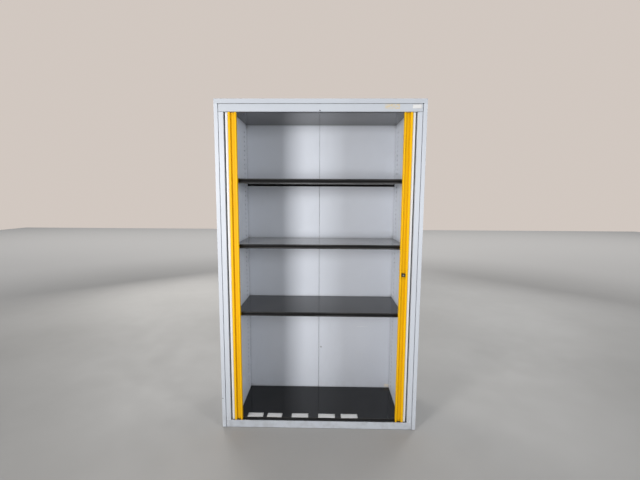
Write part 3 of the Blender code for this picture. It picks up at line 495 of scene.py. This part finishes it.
# Finishes by the solids' material slots, and those of the scene's own pieces
finishes = {
    "carcass_paint": powder_coat("grey_powder_coat", GREY, 0.40, tint=front_marks),
    # A darker copy of the grey paint, as painted shade on the top, the header and the sill
    "shaded_paint": powder_coat("grey_powder_coat_shaded", shade(GREY, 0.89), 0.40, tint=front_marks),
    # The lining's edges and slot rims are darkened, as painted shade
    "lining_paint": powder_coat("lining_powder_coat", LINING, 0.44, grime=0.07, tint=lining_marks, rim=0.0024,
                                edge_shade=shade(LINING, 0.16)),
    "black_paint": black_enamel("black_enamel", 0.08, 0.38),
    "underside_paint": black_enamel("black_enamel_dull", 0.50, 0.12),
    "stile_paint": powder_coat("yellow_powder_coat", YELLOW, 0.46, grime=0.05, tint=channel_shade,
                               gloss=0.15),
    # The curtain's plastic is a darker copy of the trim's, as painted shade in the slot beside the post
    "curtain_plastic": slat_plastic("slat_plastic", 0.69),
    "trim_plastic": slat_plastic("trim_plastic", 0.77),
    "track_plastic": moulded_plastic("track_plastic_black", (0.018, 0.018, 0.019), 0.50),
    "runner_plastic": moulded_plastic("runner_plastic_dark", (0.045, 0.045, 0.048), 0.46),
    "lock_black": moulded_plastic("lock_plastic_black", (0.020, 0.019, 0.018), 0.36, 0.00003),
    "lock_metal": plated_metal("lock_nickel", (0.62, 0.60, 0.56), 0.30, (40.0, 40.0, 900.0)),
    "clip_zinc": plated_metal("clip_zinc_plate", (0.82, 0.83, 0.84), 0.48, (60.0, 700.0, 60.0)),
    "foot_rubber": moulded_plastic("foot_rubber_black", (0.026, 0.026, 0.026), 0.70, 0.00008),
    "buffer_plastic": moulded_plastic("buffer_plastic_grey", (0.24, 0.25, 0.27), 0.50),
    "label_paper": label_paper("blank_label_paper", 1.0),
    "sticker_paper": label_paper("sticker_paper", 0.82),
}


# Shading of the solids

def fold_shading():
    """Joins the solids' facets, shades tight folds smooth and keeps sharp edges."""
    tree = bpy.data.node_groups.new("fold_shading", "GeometryNodeTree")
    tree.interface.new_socket("Geometry", in_out="INPUT", socket_type="NodeSocketGeometry")
    tree.interface.new_socket("Geometry", in_out="OUTPUT", socket_type="NodeSocketGeometry")
    start = tree.nodes.new("NodeGroupInput")
    merge = tree.nodes.new("GeometryNodeMergeByDistance")
    merge.inputs["Distance"].default_value = MERGE_DISTANCE
    clear = tree.nodes.new("GeometryNodeRemoveAttribute")
    clear.inputs["Name"].default_value = "custom_normal"
    soft = tree.nodes.new("GeometryNodeSetShadeSmooth")
    angle = tree.nodes.new("GeometryNodeInputMeshEdgeAngle")
    steep = tree.nodes.new("FunctionNodeCompare")
    steep.inputs[1].default_value = math.radians(CRISP_ANGLE)
    crisp = tree.nodes.new("GeometryNodeSetShadeSmooth")
    crisp.domain = "EDGE"
    crisp.inputs["Shade Smooth"].default_value = False
    end = tree.nodes.new("NodeGroupOutput")
    link = tree.links.new
    link(start.outputs[0], merge.inputs["Geometry"])
    link(merge.outputs[0], clear.inputs["Geometry"])
    link(clear.outputs[0], soft.inputs["Geometry"])
    link(soft.outputs[0], crisp.inputs["Geometry"])
    link(angle.outputs["Unsigned Angle"], steep.inputs[0])
    link(steep.outputs["Result"], crisp.inputs["Selection"])
    link(crisp.outputs[0], end.inputs[0])
    return tree


shading = fold_shading()
for name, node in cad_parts.items():
    slot = node.data.materials[0].name.split(".")[0]
    # The top, the header and the sill take the darker grey, as painted shade
    node.material_slots[0].material = finishes["shaded_paint" if name in SHADED_PIECES else slot]
    node.modifiers.new("folds", "NODES").node_group = shading
    width = RUNNER_ROUND if name.endswith("_runner") else ROUNDED.get(name)
    if width:
        bevel = node.modifiers.new("edges", "BEVEL")
        bevel.width = width
        bevel.segments = 2
        bevel.limit_method = "ANGLE"
        bevel.angle_limit = math.radians(BEVEL_ANGLE)
    weights = node.modifiers.new("weights", "WEIGHTED_NORMAL")
    weights.mode = "FACE_AREA"
    weights.keep_sharp = True


# Outlines and prisms: an outline is a list of points, each with True where its corner is sharp

def arc(x, y, radius, first, last, steps):
    """Points of a round corner about (x, y), from one angle in degrees to another."""
    points = []
    for step in range(steps + 1):
        turn = math.radians(first + (last - first) * step / steps)
        points.append(((x + radius * math.cos(turn), y + radius * math.sin(turn)), False))
    return points


def crown(start, end, base, rise, steps):
    """Points of a bowed face between two corners, without its ends."""
    points = []
    for step in range(1, steps):
        bow = 1 - (2 * step / steps - 1) ** 2
        points.append(((start + (end - start) * step / steps, base + rise * bow), False))
    return points


def add_prism(bm, points, low, high, side):
    """A closed prism over a clockwise outline in plan, mirrored to the cabinet's left where side is -1."""
    if side < 0:
        points = [((-x, y), sharp) for (x, y), sharp in points]
    else:
        points = points[::-1]
    rings = [[bm.verts.new((x, y, z)) for (x, y), _ in points] for z in (low, high)]
    caps = [bm.faces.new(rings[0][::-1]), bm.faces.new(rings[1])]
    for i in range(len(points)):
        bm.faces.new((rings[0][i - 1], rings[0][i], rings[1][i], rings[1][i - 1])).smooth = True
    for cap in caps:
        for edge in cap.edges:
            edge.smooth = False
    for i, (_, sharp) in enumerate(points):
        bm.edges.get((rings[0][i], rings[1][i])).smooth = not sharp


def mesh_object(name, bm, material):
    mesh = bpy.data.meshes.new(name)
    bm.to_mesh(mesh)
    bm.free()
    mesh.materials.append(material)
    made = bpy.data.objects.new(name, mesh)
    bpy.context.scene.collection.objects.link(made)
    return made


# Slatted curtains

def slat_profile():
    """Outline of one slat in plan: u along the curtain, v towards its front."""
    half = SLAT_THICKNESS / 2
    shoulder = half - SLAT_CROWN
    inner, outer = SLAT_ROUND, SLAT_FACE - SLAT_ROUND
    points = [((SLAT_CHAMFER, -half), True), ((SLAT_FACE - SLAT_CHAMFER, -half), True)]
    points.append(((SLAT_FACE, SLAT_CHAMFER - half), True))
    points += arc(outer, shoulder - SLAT_ROUND, SLAT_ROUND, 0, 90, CORNER_STEPS)
    points += crown(outer, inner, shoulder, SLAT_CROWN, SLAT_STEPS)
    points += arc(inner, shoulder - SLAT_ROUND, SLAT_ROUND, 90, 180, CORNER_STEPS)
    points.append(((0.0, SLAT_CHAMFER - half), True))
    return points


def neck_profile(length):
    """Outline of the web between two slats, close to their back."""
    back = NECK_INSET - SLAT_THICKNESS / 2
    front = back + NECK_THICKNESS
    start, end = -NECK_LAP, length + NECK_LAP
    return [((start, back), True), ((end, back), True), ((end, front), True), ((start, front), True)]


def web_and_slat(start, neck):
    """A web and the slat after it: outline, where it begins and how long it is."""
    return (neck_profile(neck), start, neck), (slat_profile(), start + neck, SLAT_FACE)


def pressed(closed_x):
    """Where a point of the shut curtain lies while the door is open, shifted by a smooth share of the travel.
    """
    low, high = FOLD_END, FOLD_START
    for _ in range(FOLD_HALVINGS):
        middle = (low + high) / 2
        t = (FOLD_START - middle) / (FOLD_START - FOLD_END)
        if middle - t * t * (3 - 2 * t) * TRAVEL < closed_x:
            low = middle
        else:
            high = middle
    return (low + high) / 2


def route_point(distance):
    """Place on the curtain's way round the side, with distance counted from the bend's start."""
    quarter = math.pi / 2 * BEND_RADIUS
    side_start, side_end = FRONT_RUN + BEND_RADIUS, REAR_RUN - BEND_RADIUS
    if distance < quarter:
        turn = distance / BEND_RADIUS
        return Vector((BEND_X + BEND_RADIUS * math.sin(turn), side_start - BEND_RADIUS * math.cos(turn)))
    distance -= quarter
    if distance < side_end - side_start:
        return Vector((SIDE_RUN, side_start + distance))
    distance -= side_end - side_start
    if distance < quarter:
        turn = distance / BEND_RADIUS
        return Vector((BEND_X + BEND_RADIUS * math.cos(turn), side_end + BEND_RADIUS * math.sin(turn)))
    return Vector((BEND_X - (distance - quarter), REAR_RUN))


def add_curtain_front(side, word, low, high):
    """The slats beside the stile, and those that come out as the door shuts."""
    bm = bmesh.new()

    def put(start, neck, place):
        for profile, begin, _ in web_and_slat(start, neck):
            points = [((place(begin + u), FRONT_RUN - v), sharp) for (u, v), sharp in profile]
            add_prism(bm, points, low, high, side)

    for i in range(SHOWN_SLATS):
        put(STILE_OUTER + i * SLAT_PITCH, SLAT_NECK, lambda x: x)
    first = FOLD_END - TRAVEL
    pitch = (FOLD_START - first) / FOLDED_SLATS
    for i in range(FOLDED_SLATS):
        put(first + i * pitch, pitch - SLAT_FACE, pressed)
    front = mesh_object(f"{word}_curtain_front", bm, finishes["curtain_plastic"])
    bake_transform(front)
    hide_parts(f"{word}_curtain")


def add_curtain_back(side, word, low, high):
    """The rest of the slats, in the pocket behind the side panel and along the rear."""
    stop_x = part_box(f"{word}_end_stop")[0 if side > 0 else 1].x * side
    length = math.pi * BEND_RADIUS + REAR_RUN - FRONT_RUN - 2 * BEND_RADIUS + BEND_X - stop_x
    bm = bmesh.new()
    for i in range(math.floor((length - STOP_ROOM) / SLAT_PITCH)):
        for profile, begin, span in web_and_slat(i * SLAT_PITCH, SLAT_NECK):
            start = route_point(begin)
            along = (route_point(begin + span) - start).normalized()
            outwards = Vector((along.y, -along.x))
            points = [(tuple(start + along * u + outwards * v), sharp) for (u, v), sharp in profile]
            add_prism(bm, points, low, high, side)
    back = mesh_object(f"{word}_curtain_back", bm, finishes["curtain_plastic"])
    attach(back, "carcass")
    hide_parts(f"{word}_curtain")


def add_edge_trim(side, word):
    """The white profile along the stile's outer edge: a bar with a crowned front and rounded corners."""
    low, high = (corner.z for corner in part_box(f"{word}_stile"))
    inner, outer = TRIM_INNER + TRIM_ROUND, TRIM_OUTER - TRIM_ROUND
    shoulder = TRIM_FRONT + SLAT_CROWN
    points = [((TRIM_INNER, TRIM_BACK), True), ((TRIM_OUTER - TRIM_CHAMFER, TRIM_BACK), True)]
    points.append(((TRIM_OUTER, TRIM_BACK - TRIM_CHAMFER), True))
    points += arc(outer, shoulder + TRIM_ROUND, TRIM_ROUND, 0, -90, TRIM_CORNER_STEPS)
    points += crown(outer, inner, shoulder, -SLAT_CROWN, TRIM_STEPS)
    points += arc(inner, shoulder + TRIM_ROUND, TRIM_ROUND, -90, -180, TRIM_CORNER_STEPS)
    bm = bmesh.new()
    add_prism(bm, points, low + TRIM_END, high - TRIM_END, side)
    trim = mesh_object(f"{word}_edge_trim", bm, finishes["trim_plastic"])
    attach(trim, f"{word}_door")


for side, word in ((-1, "left"), (1, "right")):
    curtain_low, curtain_high = (corner.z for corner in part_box(f"{word}_curtain"))
    add_curtain_front(side, word, curtain_low, curtain_high)
    add_curtain_back(side, word, curtain_low, curtain_high)
    add_edge_trim(side, word)


# Undersides of the shelves

def add_underside(number):
    """A sheet with folded lips between the shelf's front return and its rear edge."""
    near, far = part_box(f"shelf_{number}")
    front, back = near.y + UNDERSIDE_INSET, far.y - UNDERSIDE_GAP
    low = far.z - SHELF_EDGE + UNDERSIDE_RISE

    def folds(radius):
        """The two folds from the rear to the front."""
        height = low + UNDERSIDE_ROUND
        rear_fold = arc(back - UNDERSIDE_ROUND, height, radius, 0, -90, CORNER_STEPS)
        return rear_fold + arc(front + UNDERSIDE_ROUND, height, radius, -90, -180, CORNER_STEPS)

    top = low + UNDERSIDE_LIP
    rear_lip = [((back - UNDERSIDE_SHEET, top), True), ((back, top), True)]
    front_lip = [((front, top), True), ((front + UNDERSIDE_SHEET, top), True)]
    inside = folds(UNDERSIDE_ROUND - UNDERSIDE_SHEET)[::-1]
    bm = bmesh.new()
    points = rear_lip + folds(UNDERSIDE_ROUND) + front_lip + inside
    add_prism(bm, points, -UNDERSIDE_HALF, UNDERSIDE_HALF, 1)
    across = Matrix(((0, 0, 1, 0), (1, 0, 0, 0), (0, 1, 0, 0), (0, 0, 0, 1)))
    bmesh.ops.transform(bm, matrix=across, verts=bm.verts)
    sheet = mesh_object(f"shelf_{number}_underside", bm, finishes["underside_paint"])
    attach(sheet, "carcass")


for number in (1, 2, 3):
    add_underside(number)


# Blank labels

def paper_sheet(name, width, height, seed, paper):
    """A thin label with rounded corners and a trace of waves, lying on z = 0 with one corner at 0."""
    bm = bmesh.new()
    columns, rows, corner = LABEL_COLUMNS, LABEL_ROWS, LABEL_CORNER
    grid = []
    for row in range(rows + 1):
        line = []
        for column in range(columns + 1):
            x, y = width * column / columns, height * row / rows
            x_in = min(max(x, corner), width - corner)
            y_in = min(max(y, corner), height - corner)
            away = Vector((x - x_in, y - y_in))
            if away.length > corner:
                away *= corner / away.length
            x, y = x_in + away.x, y_in + away.y
            wave = noise.noise(Vector((x * LABEL_WAVE_SCALE + seed, y * LABEL_WAVE_SCALE, seed)))
            line.append((x, y, LABEL_LIFT + LABEL_WAVE * max(0.0, wave)))
        grid.append(line)
    layers = []
    for thickness in (0.0, LABEL_THICKNESS):
        layers.append([[bm.verts.new((x, y, z + thickness)) for x, y, z in line] for line in grid])
    under, over = layers
    for row in range(rows):
        for column in range(columns):
            ring = [(row, column), (row, column + 1), (row + 1, column + 1), (row + 1, column)]
            bm.faces.new([over[r][c] for r, c in ring]).smooth = True
            bm.faces.new([under[r][c] for r, c in ring[::-1]])
    rim = [(0, c) for c in range(columns)] + [(r, columns) for r in range(rows)]
    rim += [(rows, c) for c in range(columns, 0, -1)] + [(r, 0) for r in range(rows, 0, -1)]
    for (r, c), (r_next, c_next) in zip(rim, rim[1:] + rim[:1]):
        bm.faces.new((under[r][c], under[r_next][c_next], over[r_next][c_next], over[r][c]))
    return mesh_object(name, bm, paper)


base_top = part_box("base_panel")[1].z
for number, (left, right, turn) in enumerate(BASE_LABELS, 1):
    seed = number * LABEL_SEED
    label = paper_sheet(f"base_label_{number}", right - left, LABEL_DEPTH, seed, finishes["label_paper"])
    label.location = (left, LABEL_FRONT, base_top)
    label.rotation_euler.z = math.radians(turn)
    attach(label, "carcass")
(left, low), (right, high) = STICKER
sticker = paper_sheet("header_sticker", right - left, high - low, STICKER_SEED, finishes["sticker_paper"])
sticker.location = (left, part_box("header_rail")[0].y + STICKER_SUNK, low)
sticker.rotation_euler.x = math.radians(90.0)
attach(sticker, "carcass")


# Floor, light and camera

def add_floor():
    bm = bmesh.new()
    bmesh.ops.create_grid(bm, x_segments=FLOOR_CELLS, y_segments=FLOOR_CELLS, size=FLOOR_HALF)
    floor = mesh_object("floor", bm, pale_floor("pale_floor"))


def add_world():
    """Soft light from all round, and a pale warm backdrop where the camera looks past the floor."""
    world = bpy.data.worlds.new("studio")
    bpy.context.scene.world = world
    world.use_nodes = True
    tree = world.node_tree
    soft = tree.nodes["Background"]
    soft.inputs["Color"].default_value = SOFT_LIGHT
    soft.inputs["Strength"].default_value = SOFT_STRENGTH
    backdrop = tree.nodes.new("ShaderNodeBackground")
    backdrop.inputs["Color"].default_value = BACKDROP
    seen = tree.nodes.new("ShaderNodeLightPath")
    mix = tree.nodes.new("ShaderNodeMixShader")
    tree.links.new(seen.outputs["Is Camera Ray"], mix.inputs["Fac"])
    tree.links.new(soft.outputs["Background"], mix.inputs[1])
    tree.links.new(backdrop.outputs["Background"], mix.inputs[2])
    tree.links.new(mix.outputs["Shader"], tree.nodes["World Output"].inputs["Surface"])


def add_light(name, place, target, size, power, colour, spread):
    data = bpy.data.lights.new(name, "AREA")
    data.shape = "RECTANGLE"
    data.size, data.size_y = size
    data.energy = power
    data.color = colour
    data.spread = math.radians(spread)
    light = bpy.data.objects.new(name, data)
    light.location = place
    light.rotation_euler = (Vector(target) - Vector(place)).to_track_quat("-Z", "Y").to_euler()
    bpy.context.scene.collection.objects.link(light)


def add_camera():
    pitch, yaw, roll = (math.radians(v) for v in (CAMERA_PITCH, CAMERA_YAW, CAMERA_ROLL))
    ahead = Vector((math.sin(yaw) * math.cos(pitch), math.cos(yaw) * math.cos(pitch), -math.sin(pitch)))
    level = Vector((math.cos(yaw), -math.sin(yaw), 0.0))
    upright = level.cross(ahead)
    right = level * math.cos(roll) + upright * math.sin(roll)
    up = upright * math.cos(roll) - level * math.sin(roll)
    data = bpy.data.cameras.new("camera")
    data.sensor_fit = "HORIZONTAL"
    data.sensor_width = SENSOR_WIDTH
    data.lens = FOCAL_PIXELS * SENSOR_WIDTH / IMAGE_WIDTH
    camera = bpy.data.objects.new("camera", data)
    turn = Matrix((right, up, -ahead)).transposed().to_4x4()
    camera.matrix_world = Matrix.Translation(CAMERA_PLACE) @ turn
    bpy.context.scene.collection.objects.link(camera)
    bpy.context.scene.camera = camera


add_floor()
add_world()
for row in LIGHTS:
    add_light(*row)
add_camera()
bpy.context.scene.view_settings.view_transform = "Standard"
